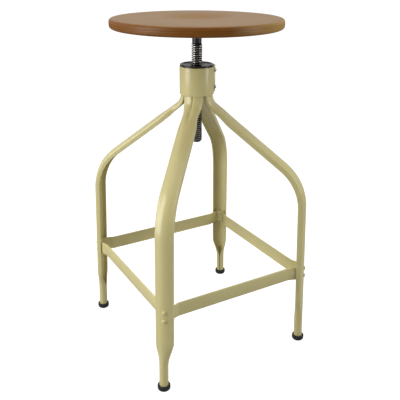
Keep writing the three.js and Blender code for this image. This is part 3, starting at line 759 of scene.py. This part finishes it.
def leg_mesh(name, legs, collar):
    reach = collar_reach(legs, collar)
    flat = legs.width / 2 - legs.corner
    channel = channel_outline(
        legs.width, legs.depth, legs.corner, lambda x: legs.crown * (x / flat) ** 2)

    def round_dip(x):
        return legs.top_round - math.sqrt(legs.top_round ** 2 - x ** 2)

    waist = channel_outline(legs.waist_width, legs.waist_depth, legs.waist_corner, round_dip)
    top = channel_outline(legs.top_width, legs.top_depth, legs.top_corner, round_dip)
    tube = []
    for i in range(SKIN_POINTS):
        a = spread(i) * (math.pi - legs.foot_seam)
        across = legs.foot_shift + legs.foot_radius * math.sin(a)
        tube.append(Vector((across, legs.foot_radius * (1 - math.cos(a)))))
    stations, neck_start, waist_at = leg_path(legs, collar)
    rings = []
    for place, way in stations:
        rolled = 1 - smooth(place.y, legs.roll_end, legs.roll_start)
        necked = 1 - smooth(place.x, waist_at, neck_start)
        opened = max(0.0, min(1.0, (waist_at - place.x) / (waist_at - reach)))
        outline = blended(channel, tube, rolled)
        if necked > 0:
            outline = blended(blended(channel, waist, necked), top, opened)
        inward = Vector((-way.y, way.x))
        section = sheet_section(outline, legs.sheet)
        dimple = legs.dimple * necked * (1 - opened)
        for p in section[:SKIN_POINTS]:
            p.y += opened * legs.crease * math.exp(-(p.x / legs.crease_width) ** 2)
        for p in section:
            p.y += dimple * math.exp(-(p.x / legs.dimple_width) ** 2)
        rings.append([
            Vector((place.x + inward.x * p.y, p.x, place.y + inward.y * p.y)) for p in section])
    return sheet_mesh(name, rings)


def leg_turn(number):
    return Matrix.Rotation(math.radians(135 + 90 * number), 4, "Z")


class BuildLegs(bpy.types.Operator):
    """Builds the four pressed steel legs"""
    bl_idname = "stool.build_legs"
    bl_label = "Legs"

    def execute(self, context):
        scene = context.scene
        for number in LEG_NUMBERS:
            name = f"pressed_leg_{number}"
            mesh = moved(leg_mesh(name, scene.stool_legs, scene.stool_collar), leg_turn(number))
            piece(name, mesh, "cream_enamel", "cream_paint", "frame", f"leg_{number}")
        return {"FINISHED"}


class BuildFootCaps(bpy.types.Operator):
    """Builds the rubber caps under the legs"""
    bl_idname = "stool.build_foot_caps"
    bl_label = "Foot caps"

    def execute(self, context):
        legs = context.scene.stool_legs
        for number in LEG_NUMBERS:
            low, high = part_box(f"foot_cap_{number}")
            radius = (high.x - low.x) / 2
            height = high.z
            socket = legs.foot_radius + 0.0004
            sole, lip = radius - legs.cap_sole, radius - legs.cap_top
            hollow, mouth, seating = 0.0006, 0.0005, legs.foot_bottom - 0.0012
            profile = [
                (0.0, hollow), (sole - 3 * hollow, hollow), (sole - 0.001, 0.0),
                *rounded((sole, legs.cap_sole), legs.cap_sole, -90, 0, 10),
                *rounded((lip, height - legs.cap_top), legs.cap_top, 0, 80, 7),
                *rounded((socket + mouth, height - mouth), mouth, 90, 180, 3),
                (socket, seating), (0.0, seating),
            ]
            name = f"rubber_foot_{number}"
            mesh = turned(name, profile, FOOT_SIDES)
            place = Matrix.Translation(((low.x + high.x) / 2, (low.y + high.y) / 2, 0))
            mesh = moved(mesh, place)
            piece(name, mesh, "black_rubber", "black_rubber", "frame", f"foot_cap_{number}")
        return {"FINISHED"}


# ---- stretchers ----
def stretcher_end(rails, reach):
    """Stations of one end of a stretcher, seen from above, out to the tip of its tab."""
    level = Vector((1.0, 0.0))
    flare = Vector((math.cos(rails.flare), -math.sin(rails.flare)))
    tab = Vector((1.0, 1.0)).normalized()
    outward = Vector((1.0, -1.0)).normalized()
    start = Vector((rails.bend_at, -rails.offset))
    corner = start + flare * ((reach - start.dot(outward)) / flare.dot(outward))
    tip = outward * reach + tab * rails.tab_reach
    first = bend(start, level, flare, rails.bend_radius, 8)
    second = bend(corner, flare, tab, rails.tab_bend, 8)
    between = [(first[-1][0].lerp(second[0][0], i / 6), flare) for i in range(1, 6)]
    run = second[0][0].x - rails.bend_at
    straight = [(Vector((first[0][0].x * i / 4, -rails.offset)), level) for i in range(1, 4)]
    flat_tab = [(second[-1][0].lerp(tip, i / 3), tab) for i in (1, 2, 3)]
    stations = []
    for place, way in straight + first + between + second + flat_tab:
        flattened = max(0.0, min(1.0, (place.x - rails.bend_at) / run))
        stations.append((place, way, 1.0 if way.y > 0 else flattened))
    return stations


def mirrored(stations):
    return [(Vector((-p.x, p.y)), Vector((w.x, -w.y)), share) for p, w, share in reversed(stations)]


def stretcher_mesh(name, rails):
    flat = rails.height / 2 - rails.corner
    channel = channel_outline(
        rails.height, rails.depth, rails.corner, lambda x: rails.crown * (x / flat) ** 2)
    strip = [Vector((rails.height * spread(i) / 2, 0.0)) for i in range(SKIN_POINTS)]
    underneath = rails.tab_seat - rails.sheet - rails.gap
    middle = [(Vector((0.0, -rails.offset)), Vector((1.0, 0.0)), 0.0)]
    outside = stretcher_end(rails, rails.tab_seat)
    stations = mirrored(stretcher_end(rails, underneath)) + middle + outside
    rings = []
    for place, way, share in stations:
        inward = Vector((-way.y, way.x))
        rings.append([
            Vector((place.x + inward.x * p.y, place.y + inward.y * p.y, rails.centre - p.x))
            for p in sheet_section(blended(channel, strip, share), rails.sheet)])
    return sheet_mesh(name, rings)


class BuildStretchers(bpy.types.Operator):
    """Builds the four stretchers"""
    bl_idname = "stool.build_stretchers"
    bl_label = "Stretchers"

    def execute(self, context):
        for number in LEG_NUMBERS:
            name = f"pressed_stretcher_{number}"
            mesh = stretcher_mesh(name, context.scene.stool_stretchers)
            moved(mesh, Matrix.Rotation(math.radians(90 * (number - 1)), 4, "Z"))
            piece(name, mesh, "cream_enamel", "cream_paint", "frame", f"stretcher_{number}")
        return {"FINISHED"}


class BuildRivets(bpy.types.Operator):
    """Builds the rivets that hold the stretchers to the legs"""
    bl_idname = "stool.build_rivets"
    bl_label = "Rivets"

    def execute(self, context):
        rails, legs = context.scene.stool_stretchers, context.scene.stool_legs
        head, rise = rails.rivet_head, rails.rivet_height
        inside = rails.tab_seat - 2 * rails.sheet - 2 * rails.gap - face_radius(legs, rails.centre)
        tail, tail_rise, shank = 0.9 * head, 0.0016, 0.0024
        flat = 0.7 * tail
        turns = [math.radians(a) for a in range(0, 90, 10)]
        dome = [(head * math.cos(a), rails.gap + rise * math.sin(a)) for a in turns]
        profile = [
            (0.0, inside - tail_rise), (flat, inside - tail_rise),
            *rounded((flat, inside - 0.7 * tail_rise), 0.3 * tail_rise, -90, -10, 4),
            (tail, inside - rails.gap), (shank, inside - rails.gap), (shank, rails.gap),
            *dome, (0.0, rails.gap + rise),
        ]
        lean = math.atan(legs.splay)
        for number in LEG_NUMBERS:
            for level, sign in (("lower", -1), ("upper", 1)):
                height = rails.centre - rails.rivet_drop + sign * rails.rivet_spacing / 2
                name = f"rivet_head_{number}_{level}"
                place = Matrix.Translation((face_radius(legs, height), rails.rivet_shift, height))
                place = leg_turn(number) @ place @ Matrix.Rotation(math.pi / 2 - lean, 4, "Y")
                mesh = moved(turned(name, profile, SMALL_SIDES), place)
                piece(name, mesh, "cream_enamel", "cream_paint", "frame", f"rivet_{number}_{level}")
        return {"FINISHED"}


# ---- collar ----
class BuildCollar(bpy.types.Operator):
    """Builds the split collar that clamps the legs"""
    bl_idname = "stool.build_collar"
    bl_label = "Collar"

    def execute(self, context):
        collar = context.scene.stool_collar
        inside = collar.radius - collar.wall
        face = collar.ear_half_gap + collar.wall
        fillet = 0.0025
        outer_turn = math.asin((face + fillet) / (collar.radius + fillet))
        inner_turn = math.asin(collar.ear_half_gap / inside)
        centre = Vector(((collar.radius + fillet) * math.cos(outer_turn), face + fillet))
        steps = 96

        def arc(radius, start):
            turns = (start + (2 * math.pi - 2 * start) * i / steps for i in range(steps + 1))
            return [radius * Vector((math.cos(a), math.sin(a))) for a in turns]

        turns = [1.5 * math.pi - (math.pi / 2 - outer_turn) * i / 5 for i in range(5)]
        root = [centre + fillet * Vector((math.cos(a), math.sin(a))) for a in turns]
        ear = [Vector((collar.ear_reach, collar.ear_half_gap)), Vector((collar.ear_reach, face))]
        outline = ear + root + arc(collar.radius, outer_turn)
        outline += [Vector((p.x, -p.y)) for p in reversed(ear + root)]
        outline += arc(inside, inner_turn)[::-1]
        mesh = prism("collar", [tuple(p) for p in outline], collar.bottom, collar.top)
        bevelled(mesh, collar.edge, limit=50)
        piece("collar", mesh, "cream_enamel", "cream_paint", "frame", "clamp_collar")
        return {"FINISHED"}


class BuildCap(bpy.types.Operator):
    """Builds the dished plastic cap on the collar"""
    bl_idname = "stool.build_cap"
    bl_label = "Top cap"

    def execute(self, context):
        collar = context.scene.stool_collar
        low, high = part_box("top_cap")
        radius, bore = (high.x - low.x) / 2, collar.hub_bore + CLEARANCE
        round_, floor, edge = collar.cap_round, high.z - collar.cap_dish, TURNING
        lip = radius - collar.cap_rim
        profile = [
            (bore, low.z), (radius - 0.0007, low.z), (radius, low.z + 0.0005),
            *rounded((radius - round_, high.z - round_), round_, 0, 90, 8),
            *rounded((lip, high.z - edge), edge, 90, 150, 4),
            *rounded((lip - 0.0022, floor + edge), edge, -30, -90, 4),
            # the dish falls a little towards the bore
            (bore + 0.0012, floor - 0.0004), (bore + 0.0004, floor - 0.0008),
            (bore, floor - 0.0014),
        ]
        mesh = turned("dished_cap", profile, LARGE_SIDES)
        piece("dished_cap", mesh, "black_plastic", "black_plastic", "frame", "top_cap")
        return {"FINISHED"}


class BuildHub(bpy.types.Operator):
    """Builds the steel hub inside the collar"""
    bl_idname = "stool.build_hub"
    bl_label = "Hub"

    def execute(self, context):
        collar = context.scene.stool_collar
        low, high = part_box("spindle_hub")
        flange_height, fillet, round_ = 0.0047, 0.002, TURNING
        flange, under = (high.x - low.x) / 2, high.z - flange_height
        bore, barrel = collar.hub_bore, collar.hub_radius
        profile = [
            (bore, low.z + round_), (bore + round_, low.z),
            (barrel - round_, low.z), (barrel, low.z + round_),
            (barrel, under - fillet),
            *rounded((barrel + fillet, under - fillet), fillet, 180, 90, 4),
            (flange - round_, under), (flange, under + round_), (flange, high.z - round_),
            (flange - round_, high.z), (bore + round_, high.z), (bore, high.z - round_),
        ]
        mesh = turned("threaded_hub", profile)
        piece("threaded_hub", mesh, "black_steel", "black_steel", "frame", "spindle_hub")
        return {"FINISHED"}


def hexagon(across, low, high):
    """A hexagon with its corners turned off, drawn up from one height to another."""
    reach, spare = across / math.sqrt(3), 0.0001
    turns = [math.pi * i / 3 for i in range(6)]
    outline = [(reach * math.cos(a), reach * math.sin(a)) for a in turns]
    body = prism("hexagon", outline, low, high)
    turned_body = turned("turned", [
        (0.0, low), (across / 2 - spare, low), (reach + spare, low + HEX_CHAMFER),
        (reach + spare, high - HEX_CHAMFER), (across / 2 - spare, high), (0.0, high)], SCREW_SIDES)
    return cut("hexagon", body, turned_body, "INTERSECT")


class BuildClampBolts(bpy.types.Operator):
    """Builds the bolts and nuts that draw the collar's ears together"""
    bl_idname = "stool.build_clamp_bolts"
    bl_label = "Clamp bolts"

    def execute(self, context):
        collar = context.scene.stool_collar
        face = collar.ear_half_gap + collar.wall
        gap, radius = CLEARANCE, collar.bolt_radius
        ridge, groove, end_chamfer = 0.00035, 0.0002, 0.0004
        for number in (1, 2):
            low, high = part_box(f"clamp_bolt_{number}")
            middle = (low.z + high.z) / 2
            lying = Matrix.Rotation(-math.pi / 2, 4, "X")
            place = Matrix.Translation((collar.bolt_offset, 0, middle)) @ lying
            head_top = -face - gap
            head = hexagon(collar.across_flats, low.y, head_top)
            start, shank_start = face + gap, head_top - HEX_CHAMFER
            turns = int((high.y - end_chamfer - start) / ridge)
            ridges = [
                (radius if i % 2 else radius - groove, start + ridge * i) for i in range(turns)]
            shank = turned("shank", [
                (0.0, shank_start), (radius, shank_start), *ridges,
                (radius - end_chamfer, high.y), (0.0, high.y)], SMALL_SIDES)
            name = f"hex_bolt_{number}"
            bolt = moved(joined(name, head, shank), place)
            piece(name, bolt, "zinc_plate", "zinc_steel", "frame", f"clamp_bolt_{number}")
            body = hexagon(collar.across_flats, start, start + collar.nut_height)
            bore = turned("bore", [
                (0.0, start - 0.002), (radius + gap, start - 0.002),
                (radius + gap, start + 0.008), (0.0, start + 0.008)], SMALL_SIDES)
            name = f"hex_nut_{number}"
            nut = moved(cut(name, body, bore, "DIFFERENCE"), place)
            piece(name, nut, "zinc_plate", "zinc_steel", "frame", f"clamp_nut_{number}")
        return {"FINISHED"}


# ---- spindle ----
def thread_mesh(spindle):
    """A long closed bar with a right-hand trapezoidal thread, past both ends of the spindle."""
    root, crest, ease = spindle.root, spindle.radius, 0.00018
    pitch = spindle.pitch
    land, rise = 0.34 * pitch, 0.137 * pitch
    cycle = [
        (0.0, root), (land, root), (land + rise, crest - ease), (land + rise + ease, crest),
        (2 * land + rise + ease, crest), (2 * land + rise + 2 * ease, crest - ease)]
    per_turn, sides = len(cycle), spindle.sides
    base = spindle.bottom - 2 * pitch
    turns = int((spindle.top - base) / pitch) + 3
    rows = turns * per_turn
    points, index = [], {}
    for side in range(sides):
        share = side / sides
        a = 2 * math.pi * share
        for row in range(rows + 1 + (per_turn if side == 0 else 0)):
            height, radius = cycle[row % per_turn]
            index[side, row] = len(points)
            points.append((
                radius * math.cos(a), radius * math.sin(a),
                base + pitch * (row // per_turn + share) + height))

    def at(side, row):
        return index[side, row] if side < sides else index[0, row + per_turn]

    faces = [
        (at(side, row), at(side + 1, row), at(side + 1, row + 1), at(side, row + 1))
        for side in range(sides) for row in range(rows)]
    low = [at(side, 0) for side in range(sides + 1)]
    low += [at(0, row) for row in range(per_turn - 1, 0, -1)]
    high = [at(side, rows) for side in range(sides + 1)]
    high += [at(0, rows + row) for row in range(per_turn - 1, 0, -1)]
    for loop, height in ((low, base - pitch), (high, base + pitch * (turns + 2))):
        middle = len(points)
        points.append((0.0, 0.0, height))
        faces += [(loop[i], loop[(i + 1) % len(loop)], middle) for i in range(len(loop))]
    return mesh_from("thread", points, faces)


class BuildSpindle(bpy.types.Operator):
    """Builds the threaded spindle that lifts the seat"""
    bl_idname = "stool.build_spindle"
    bl_label = "Spindle"

    def execute(self, context):
        spindle = context.scene.stool_spindle
        outer, shoulder = spindle.radius + 0.0001, 0.0012
        blank = turned("blank", [
            (0.0, spindle.bottom), (spindle.radius - spindle.chamfer, spindle.bottom),
            (outer, spindle.bottom + spindle.chamfer), (outer, spindle.thread_top - shoulder),
            (outer - shoulder, spindle.thread_top), (spindle.neck, spindle.thread_top),
            (spindle.neck, spindle.top - TURNING), (spindle.neck - TURNING, spindle.top),
            (0.0, spindle.top)])
        name = "screw_spindle"
        mesh = cut(name, thread_mesh(spindle), blank, "INTERSECT")
        piece(name, mesh, "thread_steel", "black_steel", "seat_and_spindle", "spindle", crease=28)
        return {"FINISHED"}


class BuildBush(bpy.types.Operator):
    """Builds the bush between the spindle's shoulder and the seat plate"""
    bl_idname = "stool.build_bush"
    bl_label = "Bush"

    def execute(self, context):
        spindle = context.scene.stool_spindle
        low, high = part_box("spindle_bush")
        radius, bore, round_ = (high.x - low.x) / 2, spindle.neck + CLEARANCE, 0.0005
        profile = [
            (bore, low.z), (radius - round_, low.z), (radius, low.z + round_),
            (radius, high.z - round_), (radius - round_, high.z), (bore, high.z)]
        mesh = turned("neck_bush", profile, BUSH_SIDES)
        piece("neck_bush", mesh, "black_steel", "black_steel", "lift", "spindle_bush")
        return {"FINISHED"}


# ---- seat ----
class BuildSeat(bpy.types.Operator):
    """Builds the round plywood seat"""
    bl_idname = "stool.build_seat"
    bl_label = "Seat"

    def execute(self, context):
        seat = context.scene.stool_seat
        round_, reach = seat.edge_round, seat.radius - seat.edge_round
        steps = 24
        dish = []
        for i in range(steps):
            share = 1 - i / steps
            dish.append((seat.rim_inside * share, seat.top - seat.dish * (1 - share ** 2) ** 1.5))
        underside = [(seat.radius * i / 12, seat.bottom) for i in range(1, 11)]
        profile = [
            (0.0, seat.bottom), *underside,
            *rounded((reach, seat.bottom + round_), round_, -90, 0, 12),
            *rounded((reach, seat.top - round_), round_, 0, 90, 12),
            *dish, (0.0, seat.top - seat.dish)]
        name = "plywood_seat"
        mesh = turned(name, profile, SEAT_SIDES)
        piece(name, mesh, "lacquered_plywood", "plywood", "seat_and_spindle", "seat", crease=60)
        return {"FINISHED"}


class BuildSeatPlate(bpy.types.Operator):
    """Builds the steel plate and boss under the seat"""
    bl_idname = "stool.build_seat_plate"
    bl_label = "Seat plate"

    def execute(self, context):
        seat, spindle = context.scene.stool_seat, context.scene.stool_spindle
        low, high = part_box("seat_plate")
        bore, boss, rim = spindle.neck + CLEARANCE, seat.boss_radius, seat.plate_radius
        under, round_, fillet = high.z - seat.plate_thickness, TURNING, 0.003
        profile = [
            (0.0, spindle.top + CLEARANCE), (bore, spindle.top + CLEARANCE), (bore, low.z),
            (boss - round_, low.z), (boss, low.z + round_), (boss, under - fillet),
            *rounded((boss + fillet, under - fillet), fillet, 180, 90, 6),
            (rim - round_, under), (rim, under + round_), (rim, high.z), (0.0, high.z)]
        mesh = turned("boss_plate", profile, LARGE_SIDES)
        piece("boss_plate", mesh, "black_steel", "black_steel", "seat_and_spindle", "seat_plate")
        return {"FINISHED"}


class BuildSeatScrews(bpy.types.Operator):
    """Builds the screws that hold the plate to the seat"""
    bl_idname = "stool.build_seat_screws"
    bl_label = "Seat screws"

    def execute(self, context):
        seat = context.scene.stool_seat
        for number in LEG_NUMBERS:
            low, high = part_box(f"seat_screw_{number}")
            rise, shank, point = 0.0024, 0.002, 0.003
            top = low.z + rise
            turns = [math.radians(a) for a in range(9, 91, 9)]
            dome = [(seat.screw_head * math.sin(a), top - rise * math.cos(a)) for a in turns]
            body = turned("screw", [
                (0.0, low.z), *dome, (shank, top), (shank, high.z - point), (0.0, high.z)],
                SCREW_SIDES)
            wide, deep = 0.62 * seat.screw_head, 0.0011
            for size in ((wide, seat.screw_recess), (seat.screw_recess, wide)):
                x, y = size
                outline = [(-x, -y), (x, -y), (x, y), (-x, y)]
                slot = prism("recess", outline, low.z - 0.001, low.z + deep)
                body = cut("screw", body, slot, "DIFFERENCE")
            name = f"round_head_screw_{number}"
            place = Matrix.Translation(((low.x + high.x) / 2, (low.y + high.y) / 2, 0))
            piece(name, moved(body, place), "zinc_plate", "zinc_steel", "seat_and_spindle",
                  f"seat_screw_{number}")
        return {"FINISHED"}


# ---- stage ----
def area_light(name, power, size, place, target):
    light = bpy.data.lights.new(name, "AREA")
    light.energy = power
    light.shape = "RECTANGLE"
    light.size, light.size_y = size
    made = bpy.data.objects.new(name, light)
    made.location = place
    made.rotation_euler = (Vector(target) - Vector(place)).to_track_quat("-Z", "Y").to_euler()
    bpy.context.scene.collection.objects.link(made)


def surroundings(stage):
    """White all round to the eye, and a softer light on the stool."""
    world = bpy.data.worlds.new("surroundings")
    bpy.context.scene.world = world
    world.use_nodes = True
    tree = world.node_tree
    light = tree.nodes["Background"]
    light.inputs["Color"].default_value = (*stage.sky, 1.0)
    # the room is dark behind the camera
    place, facing = tree.nodes.new("ShaderNodeTexCoord"), tree.nodes.new("ShaderNodeVectorMath")
    facing.operation = "DOT_PRODUCT"
    facing.inputs[1].default_value = (-0.5, -0.86, 0.1)
    strength = tree.nodes.new("ShaderNodeMapRange")
    strength.interpolation_type = "SMOOTHSTEP"
    for key, value in (("From Min", 0.1), ("From Max", 0.95), ("To Min", stage.sky_strength),
                       ("To Max", stage.sky_behind * stage.sky_strength)):
        strength.inputs[key].default_value = value
    tree.links.new(place.outputs["Generated"], facing.inputs[0])
    tree.links.new(facing.outputs["Value"], strength.inputs["Value"])
    tree.links.new(strength.outputs["Result"], light.inputs["Strength"])
    seen = tree.nodes.new("ShaderNodeBackground")
    seen.inputs["Color"].default_value = (1.0, 1.0, 1.0, 1.0)
    seen.inputs["Strength"].default_value = 1.1
    ray, mix = tree.nodes.new("ShaderNodeLightPath"), tree.nodes.new("ShaderNodeMixShader")
    tree.links.new(ray.outputs["Is Camera Ray"], mix.inputs["Fac"])
    tree.links.new(light.outputs["Background"], mix.inputs[1])
    tree.links.new(seen.outputs["Background"], mix.inputs[2])
    tree.links.new(mix.outputs["Shader"], tree.nodes["World Output"].inputs["Surface"])


class BuildStage(bpy.types.Operator):
    """Builds the floor, the lights and the camera"""
    bl_idname = "stool.build_stage"
    bl_label = "Stage"

    def execute(self, context):
        stage = context.scene.stool_stage
        half = stage.floor_size / 2
        corners = [(-half, -half, 0), (half, -half, 0), (half, half, 0), (-half, half, 0)]
        mesh = mesh_from("floor", corners, [(0, 1, 2, 3)])
        floor = bpy.data.objects.new("floor", mesh)
        floor.location.z = -0.0002
        context.scene.collection.objects.link(floor)
        finish = Finish("pale_floor", stage.floor, roughness=0.9, specular=0.1)
        darker = tuple(0.98 * shade for shade in stage.floor)
        finish.colour_from(finish.mix(finish.noise(3, 2), stage.floor, darker))
        ray = finish.add("ShaderNodeLightPath")
        glow = finish.math("MULTIPLY", ray.outputs["Is Camera Ray"], stage.floor_glow)
        finish.link(glow, finish.shader.inputs["Emission Strength"])
        finish.shader.inputs["Emission Color"].default_value = (1.0, 1.0, 1.0, 1.0)
        mesh.materials.append(finish.material)
        surroundings(stage)
        area_light("key_light", stage.key, (1.2, 2.3), (-1.95, 0.12, 1.0), (0, 0, 0.35))
        area_light("fill_light", stage.fill, (0.6, 1.8), (1.28, -1.4, 0.95), (0, 0, 0.4))
        area_light("top_light", stage.top, (1.6, 1.6), (0.2, 0.3, 2.2), (0, 0, 0.3))
        camera = bpy.data.objects.new("camera", bpy.data.cameras.new("camera"))
        camera.data.lens = stage.lens
        camera.data.sensor_width = 36.0
        forward = Vector(stage.aim).normalized()
        right = forward.cross(Vector((0, 0, 1))).normalized()
        up = right.cross(forward)
        turn, lift = math.cos(stage.roll), math.sin(stage.roll)
        right, up = right * turn + up * lift, up * turn - right * lift
        axes = Matrix((right, up, -forward)).transposed().to_4x4()
        camera.matrix_world = Matrix.Translation(Vector(stage.camera)) @ axes
        context.scene.collection.objects.link(camera)
        context.scene.camera = camera
        context.scene.view_settings.view_transform = "Standard"
        return {"FINISHED"}


class StoolPanel(bpy.types.Panel):
    """Lists the stool's pieces"""
    bl_idname = "VIEW3D_PT_stool"
    bl_label = "Swivel stool"
    bl_space_type = "VIEW_3D"
    bl_region_type = "UI"
    bl_category = "Stool"

    def draw(self, context):
        for operator in OPERATORS:
            self.layout.operator(operator.bl_idname)
        for name in SETTINGS:
            box = self.layout.box()
            settings = getattr(context.scene, name)
            for key in type(settings).__annotations__:
                box.prop(settings, key)


OPERATORS = (
    BuildStage, BuildSeat, BuildSeatPlate, BuildSeatScrews, BuildSpindle, BuildBush,
    BuildCap, BuildHub, BuildCollar, BuildClampBolts, BuildLegs, BuildStretchers,
    BuildRivets, BuildFootCaps)


def register():
    for name, settings in SETTINGS.items():
        bpy.utils.register_class(settings)
        setattr(bpy.types.Scene, name, bpy.props.PointerProperty(type=settings))
    for kind in (*OPERATORS, StoolPanel):
        bpy.utils.register_class(kind)


def unregister():
    for kind in (StoolPanel, *reversed(OPERATORS)):
        bpy.utils.unregister_class(kind)
    for name, settings in SETTINGS.items():
        delattr(bpy.types.Scene, name)
        bpy.utils.unregister_class(settings)


def main():
    register()
    for operator in OPERATORS:
        group, action = operator.bl_idname.split(".")
        getattr(getattr(bpy.ops, group), action)()


if __name__ == "__main__":
    main()
